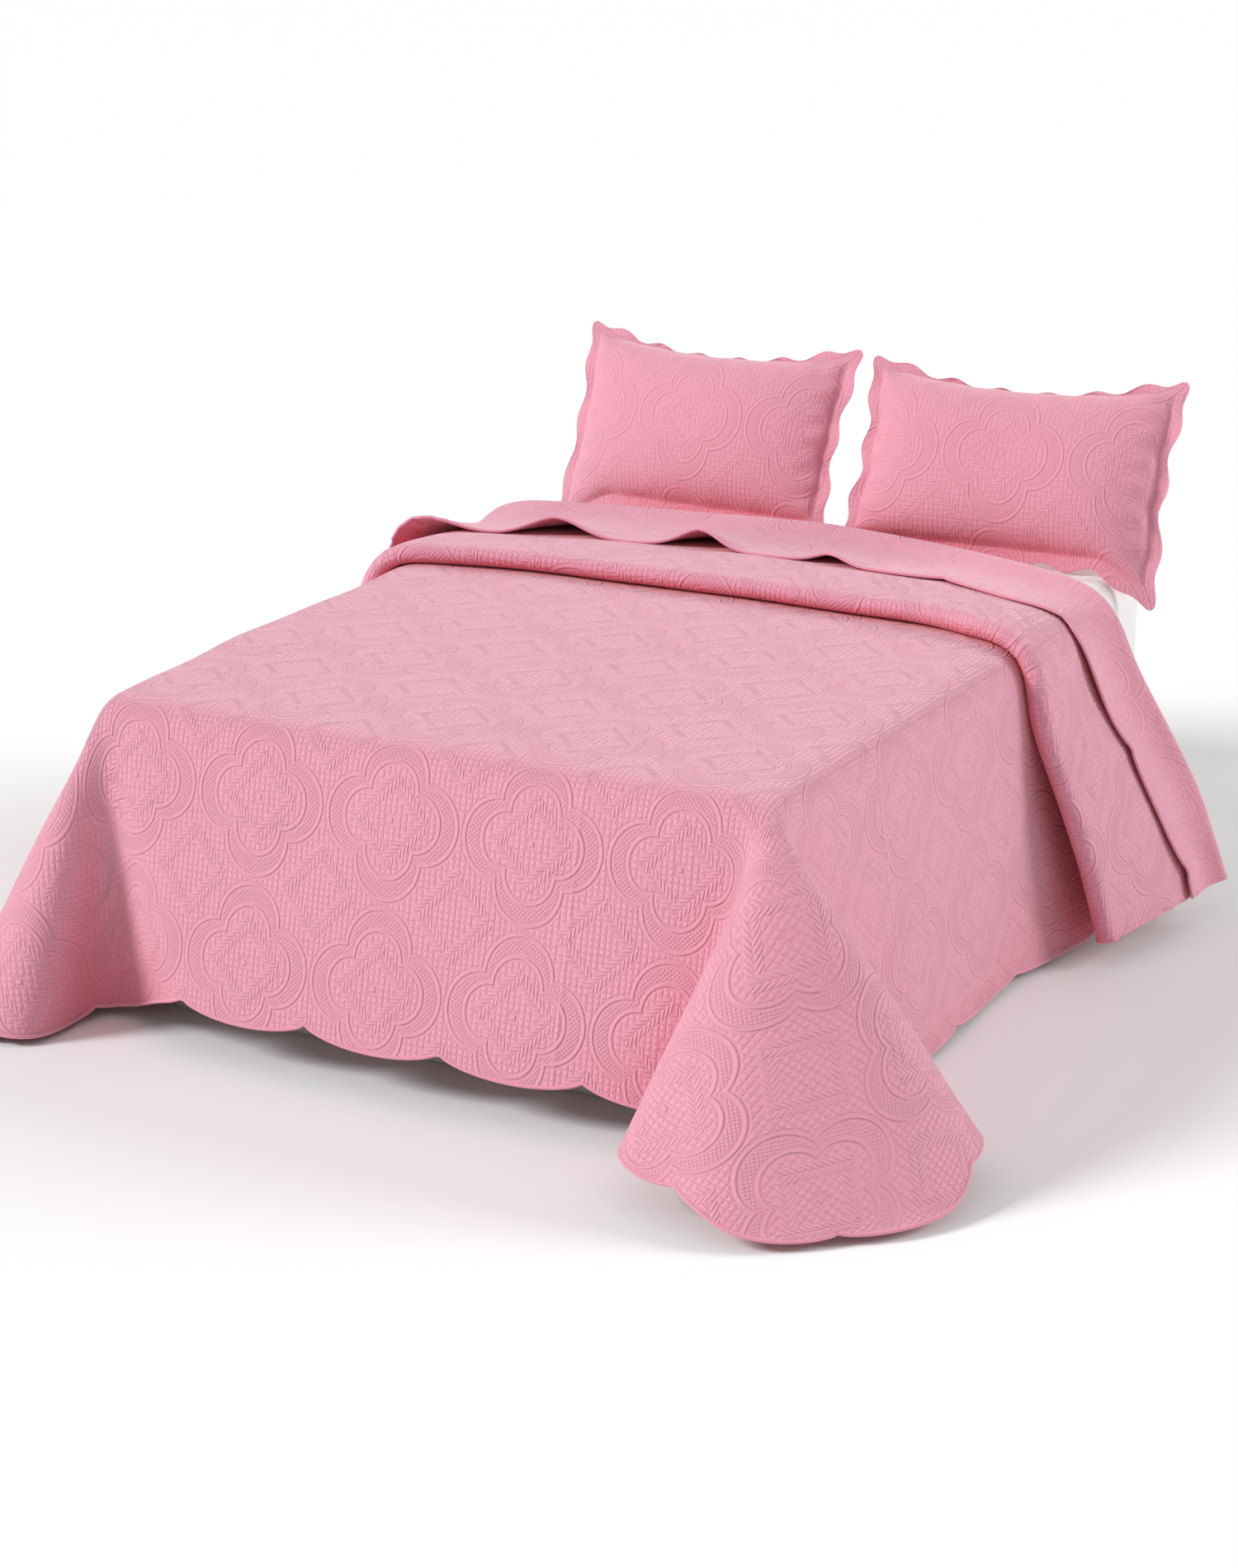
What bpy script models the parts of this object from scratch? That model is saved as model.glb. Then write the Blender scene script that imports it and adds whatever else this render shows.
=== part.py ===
# A quilted summer bedspread with a scalloped hem, laid over a plain double bed and turned back
# at the head end, with its two matching pillow shams.
# Frame: X across the bed, Y along it towards the head, Z up. The origin is on the floor, under
# the middle of the bed. All sizes are in metres.

from math import cos, pi, radians, sin

import bpy
import numpy as np

# Bed
BED_WIDTH = 1.40
BED_LENGTH = 2.00
BASE_HEIGHT = 0.37
MATTRESS_TOP = 0.650
MATTRESS_CORNER = 0.10
MATTRESS_EDGE = 0.080
BASE_INSET = 0.02
BASE_EDGE = 0.012
CONTACT_GAP = 0.0003

# Quilt cloth, laid flat: across the bed and along it
CLOTH_THICKNESS = 0.004
EDGE_ACROSS = 0.735
FOOT_EDGE_Y = -1.035
REST_HEIGHT = MATTRESS_TOP + CONTACT_GAP + CLOTH_THICKNESS / 2
SIDE_DROP = 0.650
FOOT_DROP = 0.575
HEM_CORNER_RADIUS = 0.34
FLOOR_CLEARANCE = 0.008
FLOOR_EASING = 0.03

# Matelasse quilting: medallions on a square grid, one hem lobe for each
MEDALLION_ACROSS = 0.301
MEDALLION_ALONG = 0.320
MEDALLION_OFFSET_ACROSS = -0.0325
MEDALLION_OFFSET_ALONG = 0.178
RELIEF = 0.0030
SCALLOP_DEPTH = 0.034
SCALLOP_MIDDLE = 0.75
NOTCH_WIDTH = 0.02
CORNER_LOBES = {"right": 3.89, "left": 4.11}

# Rows of faces along the cloth, by stretch
FOOT_ROWS = 10
MAIN_ROWS = 18
TUCKED_ROWS = 2
SMALL_BEND_ROWS = 3
BEND_ROWS = 4
BAND_ROWS = 6
FLAP_ROWS = 3
DROP_COLUMNS = 13
TOP_COLUMNS = 29

# The head end is folded back and forth: under bend, front roll, far fold, then the free hem
UNDER_BEND_RADIUS = 0.006
# on the right drop the folds stand off the cloth below, more and more towards the hem
STAND_OFF = 0.030
STAND_OFF_START = 0.82
STAND_OFF_RUN = 0.40
ROLL_RADIUS = 0.020
FAR_FOLD_RADIUS = 0.020
BAND_SAG = 0.030
FLAP_SAG = 0.014
SPARE_LENGTH = 1.26
# across: cloth position; roll, far, hem: where each fold lies along the bed
FOLDS = {
    "across": (-1.38, -1.05, -0.735, -0.40, 0.00, 0.30, 0.50, 0.735, 1.00, 1.38),
    "roll": (0.16, 0.14, 0.16, 0.22, 0.23, 0.22, 0.20, 0.12, 0.11, 0.17),
    "far": (0.62, 0.60, 0.62, 0.69, 0.73, 0.68, 0.61, 0.52, 0.54, 0.58),
    "hem": (0.42, 0.34, 0.31, 0.43, 0.47, 0.46, 0.42, 0.34, 0.38, 0.46),
}
# lifts of the free hem: across: where, width: how wide, height: how high
HEM_LIFTS = (
    {"across": -0.76, "width": 0.11, "height": 0.062},
    {"across": -0.47, "width": 0.07, "height": 0.040},
    {"across": -0.17, "width": 0.06, "height": 0.038},
    {"across": 0.14, "width": 0.05, "height": 0.018},
    {"across": 0.86, "width": 0.08, "height": 0.012},
)
# along the bed: tilt of each side drop from the vertical in degrees, how far the left edge
# billows past the mattress, and how softly the cloth rounds the edge
SIDES = {
    "along": (-1.035, -0.75, -0.45, -0.10, 0.15, 0.40, 0.65, 1.00),
    "right": (9.0, 8.0, 8.0, 7.0, 10.0, 16.0, 18.5, 18.5),
    "left": (9.0, 10.0, 11.0, 12.0, 13.0, 18.0, 22.0, 24.0),
    "billow": (-0.015, 0.010, 0.040, 0.045, 0.080, 0.075, 0.050, 0.030),
    "softness": (0.062, 0.066, 0.068, 0.078, 0.100, 0.110, 0.108, 0.105),
}
# across the bed: tilt of the foot drop from the vertical, in degrees
FOOT = {
    "across": (-0.735, -0.45, -0.10, 0.30, 0.55, 0.735),
    "tilt": (9.0, 12.0, 13.0, 13.0, 11.0, 8.0),
}

# A corner hangs as one cone from the mattress corner. Its rays, turning from the foot drop to
# the side drop: azimuth is from the foot direction towards that side, tilt from straight down.
CORNER_JOIN_FOOT = {"right": 12.0, "left": 20.0}
CORNER_JOIN_SIDE = 12.0
CORNER_SLACK = 0.085
CORNER_SLACK_RUN = 0.30
SLACK_FADE_FOOT = 0.25
SLACK_FADE_SIDE = 0.80
SOFTENING_STEPS = 4
FAN_STEPS = 160
NORMAL_STEP = 0.004
CORNER_RAYS = {
    "right": (
        {"azimuth": -24, "tilt": 32},
        {"azimuth": -8, "tilt": 32},
        {"azimuth": 16, "tilt": 35},
        {"azimuth": 45, "tilt": 33},
        {"azimuth": 76, "tilt": 35},
        {"azimuth": 104, "tilt": 33},
    ),
    "left": (
        {"azimuth": -22, "tilt": 3},
        {"azimuth": 5, "tilt": 21},
        {"azimuth": 35, "tilt": 26},
        {"azimuth": 68, "tilt": 25},
        {"azimuth": 95, "tilt": 8},
        {"azimuth": 115, "tilt": 27},
    ),
}

# Pillow shams: one filled solid each, body and flat flange
SHAM_WIDTH = 0.78
SHAM_HEIGHT = 0.470
SHAM_FLANGE = 0.036
SHAM_CROWN = 0.075
SHAM_BACK_CROWN = 0.8
SHAM_PULL_TOP = 0.076
SHAM_PULL_BOTTOM = 0.006
SHAM_PULL_SIDES = 0.030
SHAM_PULL_TAPER = 2
SHAM_PULL_RISE = 3
SHAM_CORNER_RADIUS = 0.055
SHAM_FILL = 2.6
SHAM_CROWN_FALL = 0.55
SHAM_DROOP = 0.100
SHAM_DROOP_START = BED_WIDTH / 2 - MATTRESS_EDGE
SHAM_DROOP_RUN = 0.20
SHAM_FLANGE_THICKNESS = 0.006
SHAM_SCALLOPS_LONG = 7
SHAM_SCALLOPS_SHORT = 4
SHAM_SCALLOP_DEPTH = 0.015
SHAM_SCALLOP_REACH = 12
SHAM_COLUMNS = 24
SHAM_ROWS = 14
SHAMS = {
    "left_sham": {"x": -0.415, "y": 0.947, "lean": 24.0, "yaw": -5.0},
    "right_sham": {"x": 0.394, "y": 0.890, "lean": 25.0, "yaw": 2.0},
}

# Bevels of the bed blocks
CORNER_SEGMENTS = 4
EDGE_SEGMENTS = 3
EDGE_ANGLE = radians(60)

# Finishes: colour, roughness
FINISHES = {
    "pink_cotton": ((0.78, 0.36, 0.44, 1.0), 0.85),
    "white_sheet": ((0.86, 0.86, 0.85, 1.0), 0.80),
    "grey_base": ((0.62, 0.61, 0.60, 1.0), 0.75),
}


def clear_scene():
    for item in list(bpy.data.objects):
        bpy.data.objects.remove(item, do_unlink=True)


def finish(name):
    material = bpy.data.materials.get(name) or bpy.data.materials.new(name)
    colour, roughness = FINISHES[name]
    material.use_nodes = True
    shader = material.node_tree.nodes["Principled BSDF"]
    shader.inputs["Base Color"].default_value = colour
    shader.inputs["Roughness"].default_value = roughness
    shader.inputs["Metallic"].default_value = 0.0
    return material


def add_object(name, points, faces, material):
    mesh = bpy.data.meshes.new(name)
    mesh.from_pydata([tuple(point) for point in points], [], faces)
    mesh.update()
    mesh.materials.append(finish(material))
    mesh.shade_smooth()
    mesh.set_sharp_from_angle(angle=radians(50))
    item = bpy.data.objects.new(name, mesh)
    bpy.context.scene.collection.objects.link(item)
    return item


def unit(vectors):
    return vectors / np.linalg.norm(vectors, axis=-1, keepdims=True)


def smooth_step(value):
    value = np.clip(value, 0.0, 1.0)
    return value * value * (3.0 - 2.0 * value)


def smooth_table(at, stations, values):
    """A curve through a short table, eased between its stations."""
    at = np.clip(at, stations[0], stations[-1])
    index = np.clip(np.searchsorted(stations, at) - 1, 0, len(stations) - 2)
    stations = np.array(stations)
    values = np.array(values)
    slopes = np.gradient(values, stations)
    width = stations[index + 1] - stations[index]
    t = (at - stations[index]) / width
    low, high = values[index], values[index + 1]
    rise = slopes[index] * width
    run = slopes[index + 1] * width
    return (low * (1 + 2 * t) * (1 - t) ** 2 + rise * t * (1 - t) ** 2
            + high * t * t * (3 - 2 * t) - run * t * t * (1 - t))


def ray(azimuth, tilt):
    """A direction down from the corner; X is outward across the bed, Y towards the head."""
    azimuth, tilt = radians(azimuth), radians(tilt)
    return np.array((sin(tilt) * sin(azimuth), -sin(tilt) * cos(azimuth), -cos(tilt)))


def corner_fan(side):
    """Directions of a hanging corner against the flat angle from the foot direction."""
    down_foot = ray(0, FOOT["tilt"][-1 if side == "right" else 0])
    down_side = ray(90, SIDES[side][0])
    join_foot, join_side = radians(CORNER_JOIN_FOOT[side]), radians(CORNER_JOIN_SIDE)
    first = cos(join_foot) * down_foot - sin(join_foot) * np.array((1.0, 0.0, 0.0))
    last = cos(join_side) * down_side + sin(join_side) * np.array((0.0, 1.0, 0.0))
    keys = [first] + [ray(**key) for key in CORNER_RAYS[side]] + [last]
    keys = np.array(keys)
    steps = np.linspace(0, len(keys) - 1, FAN_STEPS)
    curve = [smooth_table(steps, np.arange(len(keys)), keys[:, axis]) for axis in range(3)]
    curve = unit(np.stack(curve, axis=-1))
    turned = np.linalg.norm(np.diff(curve, axis=0), axis=1).cumsum()
    turned = np.concatenate(([0.0], turned)) / turned[-1]
    angles = -join_foot + turned * (pi / 2 + join_foot + join_side)
    return angles, curve


FANS = {side: corner_fan(side) for side in CORNER_RAYS}


def half_drape(across, along, side):
    """Where flat cloth lies on the bare bed, for one half; across is outward from the middle."""
    sign = 1.0 if side == "right" else -1.0
    out = across - EDGE_ACROSS
    beyond = FOOT_EDGE_Y - along
    place = np.stack([across, along, np.full_like(across, REST_HEIGHT)], axis=-1)
    tilt = np.radians(smooth_table(along, SIDES["along"], SIDES[side]))
    hang = np.stack([np.sin(tilt), np.zeros_like(tilt), -np.cos(tilt)], axis=-1)
    edge = place.copy()
    edge[..., 0] = EDGE_ACROSS
    on_side = edge + hang * out[..., None]
    edge = place.copy()
    edge[..., 1] = FOOT_EDGE_Y
    lean = np.radians(smooth_table(across * sign, FOOT["across"], FOOT["tilt"]))
    hang = np.stack([np.zeros_like(lean), -np.sin(lean), -np.cos(lean)], axis=-1)
    on_foot = edge + hang * beyond[..., None]
    angle = np.arctan2(out, beyond)
    angles, curve = FANS[side]
    turn = [np.interp(angle, angles, curve[:, axis]) for axis in range(3)]
    corner = np.array((EDGE_ACROSS, FOOT_EDGE_Y, REST_HEIGHT))
    swing = (angle - angles[0]) / (angles[-1] - angles[0])
    reach = np.hypot(out, beyond)
    slack = CORNER_SLACK * smooth_step(reach / CORNER_SLACK_RUN)
    slack = slack * smooth_step(swing / SLACK_FADE_FOOT) * smooth_step((1 - swing) / SLACK_FADE_SIDE)
    reach = reach + slack
    on_corner = corner + unit(np.stack(turn, axis=-1)) * reach[..., None]
    in_fan = (swing > 0) & (swing < 1)
    result = place
    result = np.where(((beyond > 0) & (angle <= angles[0]))[..., None], on_foot, result)
    result = np.where(((out > 0) & (angle >= angles[-1]))[..., None], on_side, result)
    return np.where(in_fan[..., None], on_corner, result)


def sharp_drape(across, along):
    right = half_drape(across, along, "right")
    left = half_drape(-across, along, "left") * np.array((-1.0, 1.0, 1.0))
    billow = smooth_table(along, SIDES["along"], SIDES["billow"])
    left[..., 0] -= billow * smooth_step(-across / EDGE_ACROSS)
    return np.where((across > 0)[..., None], right, left)


def drape(across, along):
    """The drape with its edges and creases rounded, by averaging it over a small patch."""
    count = SOFTENING_STEPS
    step = smooth_table(along, SIDES["along"], SIDES["softness"]) / count
    total = 0.0
    weights = 0.0
    for i in range(-count, count + 1):
        for j in range(-count, count + 1):
            weight = (count + 1 - abs(i)) * (count + 1 - abs(j))
            total = total + weight * sharp_drape(across + i * step, along + j * step)
            weights += weight
    place = total / weights
    low = place[..., 2]
    lift = np.maximum(FLOOR_CLEARANCE + FLOOR_EASING - low, 0.0)
    eased = FLOOR_CLEARANCE + FLOOR_EASING * np.exp(-lift / FLOOR_EASING)
    place[..., 2] = np.where(lift > 0, eased, low)
    return place


def drape_frame(across, along):
    """The rounded drape and its outward normal."""
    spread = drape(across + NORMAL_STEP, along) - drape(across - NORMAL_STEP, along)
    length = drape(across, along + NORMAL_STEP) - drape(across, along - NORMAL_STEP)
    return drape(across, along), unit(np.cross(spread, length))


def lobe(phase):
    """One broad lobe for each whole number, with a narrow notch between two."""
    return np.sqrt(np.abs(np.cos(pi * phase)) + NOTCH_WIDTH) - SCALLOP_MIDDLE


def hem_reach(angle, side_sign, across, along):
    """How far the cut edge lies beyond the bed edge, and the phase of its lobes."""
    width, length, round_off = SIDE_DROP, FOOT_DROP, HEM_CORNER_RADIUS
    ways = np.stack([np.sin(angle), np.cos(angle)], axis=-1)
    square = np.minimum(width / np.maximum(ways[..., 0], 1e-6),
                        length / np.maximum(ways[..., 1], 1e-6))
    centre = np.array((width - round_off, length - round_off))
    dot = ways @ centre
    arc = dot + np.sqrt(np.maximum(dot ** 2 - centre @ centre + round_off ** 2, 0.0))
    hit = ways * arc[..., None]
    rounded = (hit[..., 0] > centre[0]) & (hit[..., 1] > centre[1])
    reach = np.where(rounded, arc, square)
    foot_phase = (across - MEDALLION_OFFSET_ACROSS) / MEDALLION_ACROSS
    side_phase = (along - FOOT_EDGE_Y - MEDALLION_OFFSET_ALONG) / MEDALLION_ALONG
    start = (side_sign * EDGE_ACROSS - MEDALLION_OFFSET_ACROSS) / MEDALLION_ACROSS
    lobes = np.where(side_sign > 0, CORNER_LOBES["right"], CORNER_LOBES["left"])
    corner_phase = start + side_sign * angle / (pi / 2) * lobes
    phase = np.where(angle <= 0, foot_phase, np.where(angle >= pi / 2, side_phase, corner_phase))
    return reach + SCALLOP_DEPTH * lobe(phase)


def flat_place(column, row):
    """Flat cloth position from grid position: 1 is the bed edge, 2 the hem, on either side."""
    side_sign = np.where(column < 0, -1.0, 1.0)
    out = np.maximum(np.abs(column) - 1.0, 0.0)
    beyond = np.maximum(-row, 0.0)
    inner = side_sign * np.minimum(np.abs(column), 1.0) * EDGE_ACROSS
    inward = np.maximum(row, 0.0) + FOOT_EDGE_Y
    angle = np.where(beyond > 0, np.arctan2(out * SIDE_DROP, beyond * FOOT_DROP), pi / 2)
    angle = np.where((out <= 0) & (beyond > 0), 0.0, angle)
    reach = np.maximum(out, beyond) * hem_reach(angle, side_sign, inner, inward)
    return inner + side_sign * reach * np.sin(angle), inward - reach * np.cos(angle)


def head_folds(across):
    """The back-and-forth section of the head end: along and height for each row, by station."""
    roll = smooth_table(across, FOLDS["across"], FOLDS["roll"])
    far = smooth_table(across, FOLDS["across"], FOLDS["far"])
    hem = smooth_table(across, FOLDS["across"], FOLDS["hem"])
    under = (SPARE_LENGTH + 2 * roll - 2 * far + hem) / 2
    under_radius = (UNDER_BEND_RADIUS
                    + STAND_OFF * smooth_step((across - STAND_OFF_START) / STAND_OFF_RUN))
    second = 2 * under_radius
    third = second + 2 * ROLL_RADIUS
    low = third - BAND_SAG
    fourth = low + 2 * FAR_FOLD_RADIUS
    rows = []

    def straight(start, end, low_height, high_height, count):
        for step in range(1, count + 1):
            t = step / count
            rows.append((start + (end - start) * t,
                         low_height + (high_height - low_height) * smooth_step(t)))

    def bend(centre, height, radius, way, count):
        for step in range(1, count + 1):
            turn = pi * step / count
            rows.append((centre + way * radius * sin(turn), height - radius * cos(turn)))

    flat = np.zeros_like(across)
    straight(roll, under, flat, flat, TUCKED_ROWS)
    bend(under, under_radius, under_radius, 1, SMALL_BEND_ROWS)
    straight(under, roll, second, second, 1)
    bend(roll, second + ROLL_RADIUS, ROLL_RADIUS, -1, BEND_ROWS)
    straight(roll, far, third, low, BAND_ROWS)
    bend(far, low + FAR_FOLD_RADIUS, FAR_FOLD_RADIUS, 1, BEND_ROWS)
    edge = fourth - FLAP_SAG
    for lift in HEM_LIFTS:
        edge = edge + lift["height"] * np.exp(-((across - lift["across"]) / lift["width"]) ** 2)
    cut = hem - SCALLOP_DEPTH * lobe((across - MEDALLION_OFFSET_ACROSS) / MEDALLION_ACROSS)
    straight(far, cut, fourth, edge, FLAP_ROWS)
    return rows


def quilting(across, along):
    """Raised height of the stuffed pattern: each medallion is a low cushion."""
    u = (across - MEDALLION_OFFSET_ACROSS) / MEDALLION_ACROSS
    v = (along - FOOT_EDGE_Y - MEDALLION_OFFSET_ALONG) / MEDALLION_ALONG
    return RELIEF * (np.cos(pi * u) * np.cos(pi * v)) ** 2


def grid_columns():
    drop = np.linspace(1, 2, DROP_COLUMNS + 1)
    top = np.linspace(-1, 1, TOP_COLUMNS + 1)
    return np.concatenate([-drop[::-1], top[1:-1], drop])


def quilt_grid():
    """Middle surface and flat positions of the whole cloth, row by row from the foot hem."""
    columns = grid_columns()
    flat = np.zeros_like(columns)
    lines = [flat_place(columns, flat + row) for row in np.linspace(-1, 0, FOOT_ROWS + 1)]
    roll = smooth_table(lines[-1][0], FOLDS["across"], FOLDS["roll"])
    for t in np.linspace(0, 1, MAIN_ROWS + 1)[1:]:
        inward = (roll - FOOT_EDGE_Y) * t
        lines.append((flat_place(columns, inward)[0], FOOT_EDGE_Y + inward))
    heights = [flat for _ in lines]
    measured = [along for _, along in lines]
    for along, height in head_folds(lines[-1][0]):
        step = np.hypot(along - lines[-1][1], height - heights[-1])
        measured.append(measured[-1] + step)
        lines.append((flat_place(columns, measured[-1] - FOOT_EDGE_Y)[0], along))
        heights.append(height)
    across = np.array([line[0] for line in lines])
    place, normal = drape_frame(across, np.array([line[1] for line in lines]))
    middle = place + normal * np.array(heights)[..., None]
    return middle, across, np.array(measured)


def sheet_normals(middle):
    spread = np.gradient(middle, axis=1)
    length = np.gradient(middle, axis=0)
    return unit(np.cross(spread, length))


def closed_sheet(face, back):
    """Points and faces of a closed slab between two grids of the same size."""
    rows, columns = face.shape[:2]
    points = np.concatenate([face.reshape(-1, 3), back.reshape(-1, 3)])
    under = rows * columns
    faces = []
    for i in range(rows - 1):
        for j in range(columns - 1):
            a, b = i * columns + j, i * columns + j + 1
            c, d = b + columns, a + columns
            faces.append((a, b, c, d))
            faces.append((under + d, under + c, under + b, under + a))
    rim = [(0, j) for j in range(columns)]
    rim += [(i, columns - 1) for i in range(1, rows)]
    rim += [(rows - 1, j) for j in range(columns - 2, -1, -1)]
    rim += [(i, 0) for i in range(rows - 2, 0, -1)]
    ring = [i * columns + j for i, j in rim]
    for here, there in zip(ring, ring[1:] + ring[:1]):
        faces.append((there, here, under + here, under + there))
    return points, faces


def build_quilt():
    middle, across, measured = quilt_grid()
    normals = sheet_normals(middle)
    half = CLOTH_THICKNESS / 2
    face = middle + normals * (half + quilting(across, measured))[..., None]
    back = middle - normals * half
    points, faces = closed_sheet(face, back)
    return add_object("quilt", points, faces, "pink_cotton")


def round_corners(x, z, half_width, half_height, radius):
    """Turn each square corner of a grid into a quarter circle."""
    core_x = np.clip(x, radius - half_width, half_width - radius)
    core_z = np.clip(z, radius - half_height, half_height - radius)
    out_x, out_z = x - core_x, z - core_z
    far = np.maximum(np.abs(out_x), np.abs(out_z))
    scale = far / np.maximum(np.hypot(out_x, out_z), 1e-9)
    return core_x + out_x * scale, core_z + out_z * scale


def sham_surfaces():
    """Front and back of a sham standing upright, centred and facing -Y."""
    u = np.linspace(-1, 1, SHAM_COLUMNS + 1)
    v = np.linspace(-1, 1, SHAM_ROWS + 1)
    u, v = np.meshgrid(u, v)
    half_width, half_height = SHAM_WIDTH / 2, SHAM_HEIGHT / 2
    x, z = round_corners(u * half_width, v * half_height, half_width, half_height,
                         SHAM_CORNER_RADIUS)
    u, v = x / half_width, z / half_height
    body_u = 1 - SHAM_FLANGE / half_width
    body_v = 1 - SHAM_FLANGE / half_height
    depth = np.where(v > 0, SHAM_PULL_TOP, SHAM_PULL_BOTTOM)
    side, end = np.abs(u), np.abs(v)
    pull_across = 1 - (SHAM_PULL_SIDES / half_width * (1 - end ** SHAM_PULL_TAPER)
                       * side ** SHAM_PULL_RISE)
    pull_up = 1 - depth / half_height * (1 - side ** SHAM_PULL_TAPER) * end ** SHAM_PULL_RISE
    lobes_up = np.cos(pi * SHAM_SCALLOPS_SHORT * (v + 1)) * side ** SHAM_SCALLOP_REACH
    lobes_across = np.cos(pi * SHAM_SCALLOPS_LONG * (u + 1)) * end ** SHAM_SCALLOP_REACH
    x = x * pull_across + np.sign(u) * lobes_up * SHAM_SCALLOP_DEPTH / 2
    z = z * pull_up + np.sign(v) * lobes_across * SHAM_SCALLOP_DEPTH / 2
    fill_across = np.clip(1 - (side / body_u) ** SHAM_FILL, 0, 1)
    fill_up = np.clip(1 - (end / body_v) ** SHAM_FILL, 0, 1)
    crown = SHAM_CROWN * (fill_across * fill_up) ** SHAM_CROWN_FALL
    thin = SHAM_FLANGE_THICKNESS / 2
    front = np.stack([x, -thin - crown, z], axis=-1)
    back = np.stack([x, thin + crown * SHAM_BACK_CROWN, z], axis=-1)
    return np.stack([front, back])


def seat_sham(points, spec):
    """Lean and turn a sham and set its lower edge on the mattress; what overhangs droops."""
    lean, yaw = radians(spec["lean"]), radians(spec["yaw"])
    x, y, z = points[..., 0], points[..., 1], points[..., 2]
    y, z = y * cos(lean) + z * sin(lean), z * cos(lean) - y * sin(lean)
    x, y = x * cos(yaw) - y * sin(yaw), x * sin(yaw) + y * cos(yaw)
    x, y = x + spec["x"], y + spec["y"]
    z = z - z.min() + MATTRESS_TOP + CONTACT_GAP
    past = smooth_step((np.abs(x) - SHAM_DROOP_START) / SHAM_DROOP_RUN)
    low = np.clip(1 - (z - MATTRESS_TOP) / SHAM_HEIGHT, 0, 1) ** 2
    return np.stack([x, y, z - SHAM_DROOP * past * low], axis=-1)


def build_sham(name):
    front, back = seat_sham(sham_surfaces(), SHAMS[name])
    points, faces = closed_sheet(front, back)
    return add_object(name, points, faces, "pink_cotton")


def rounded_block(name, width, length, low, high, corner, edge, material):
    """A block with round upright corners and bevelled edges, built by two bevels."""
    x, y = width / 2, length / 2
    points = [(sx * x, sy * y, z) for z in (low, high) for sx, sy in
              ((-1, -1), (1, -1), (1, 1), (-1, 1))]
    faces = [(3, 2, 1, 0), (4, 5, 6, 7), (0, 1, 5, 4), (1, 2, 6, 5), (2, 3, 7, 6), (3, 0, 4, 7)]
    item = add_object(name, points, faces, material)
    upright = item.data.attributes.new("bevel_weight_edge", "FLOAT", "EDGE")
    for index, line in enumerate(item.data.edges):
        a, b = (item.data.vertices[i].co for i in line.vertices)
        upright.data[index].value = 1.0 if a.z != b.z else 0.0
    corners = item.modifiers.new("corners", "BEVEL")
    corners.limit_method = "WEIGHT"
    corners.width = corner
    corners.segments = CORNER_SEGMENTS
    edges = item.modifiers.new("edges", "BEVEL")
    edges.limit_method = "ANGLE"
    edges.angle_limit = EDGE_ANGLE
    edges.width = edge
    edges.segments = EDGE_SEGMENTS
    return item


def build_bed():
    rounded_block("bed_base", BED_WIDTH - 2 * BASE_INSET, BED_LENGTH - 2 * BASE_INSET, 0.0,
                  BASE_HEIGHT, MATTRESS_CORNER, BASE_EDGE, "grey_base")
    rounded_block("mattress", BED_WIDTH, BED_LENGTH, BASE_HEIGHT + CONTACT_GAP, MATTRESS_TOP,
                  MATTRESS_CORNER, MATTRESS_EDGE, "white_sheet")


def main():
    clear_scene()
    build_bed()
    build_quilt()
    for name in SHAMS:
        build_sham(name)


main()
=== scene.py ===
from math import cos, pi, radians, sin

import bmesh
import bpy
import numpy as np
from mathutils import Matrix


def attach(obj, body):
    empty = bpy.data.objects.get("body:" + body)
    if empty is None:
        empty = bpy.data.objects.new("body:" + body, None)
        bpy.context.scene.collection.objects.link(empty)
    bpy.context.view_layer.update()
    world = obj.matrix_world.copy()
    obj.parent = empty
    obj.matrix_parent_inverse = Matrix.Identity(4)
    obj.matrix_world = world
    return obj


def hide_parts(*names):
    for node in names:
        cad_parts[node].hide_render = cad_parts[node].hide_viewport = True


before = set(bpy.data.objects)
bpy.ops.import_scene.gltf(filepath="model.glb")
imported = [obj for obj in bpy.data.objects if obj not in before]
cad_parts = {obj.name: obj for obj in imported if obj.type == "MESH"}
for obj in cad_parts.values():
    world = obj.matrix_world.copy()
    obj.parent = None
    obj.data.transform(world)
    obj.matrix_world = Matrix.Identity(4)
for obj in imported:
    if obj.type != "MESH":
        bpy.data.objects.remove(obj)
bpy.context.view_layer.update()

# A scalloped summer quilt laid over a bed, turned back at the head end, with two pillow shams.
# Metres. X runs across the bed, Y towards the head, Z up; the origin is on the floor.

detail = 1.0


# Mesh helpers

sharpFrom = radians(70)    # a turn over this shows as an edge


def unit(vectors):
    return vectors / np.linalg.norm(vectors, axis=-1, keepdims=True)


def easeStep(value):
    value = np.clip(value, 0.0, 1.0)
    return value * value * (3.0 - 2.0 * value)


def easeTable(at, stations, values):
    # a curve through a short table, eased between its stations
    at = np.clip(at, stations[0], stations[-1])
    index = np.clip(np.searchsorted(stations, at) - 1, 0, len(stations) - 2)
    stations, values = np.array(stations), np.array(values)
    slopes = np.gradient(values, stations)
    width = stations[index + 1] - stations[index]
    t = (at - stations[index]) / width
    low, high = values[index], values[index + 1]
    rise, run = slopes[index] * width, slopes[index + 1] * width
    return (low * (1 + 2 * t) * (1 - t) ** 2 + rise * t * (1 - t) ** 2
            + high * t * t * (3 - 2 * t) - run * t * t * (1 - t))


def rimOf(rows, columns):
    # the grid's outline, once round
    rim = [(0, j) for j in range(columns)]
    rim += [(i, columns - 1) for i in range(1, rows)]
    rim += [(rows - 1, j) for j in range(columns - 2, -1, -1)]
    rim += [(i, 0) for i in range(rows - 2, 0, -1)]
    return [i * columns + j for i, j in rim]


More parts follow.
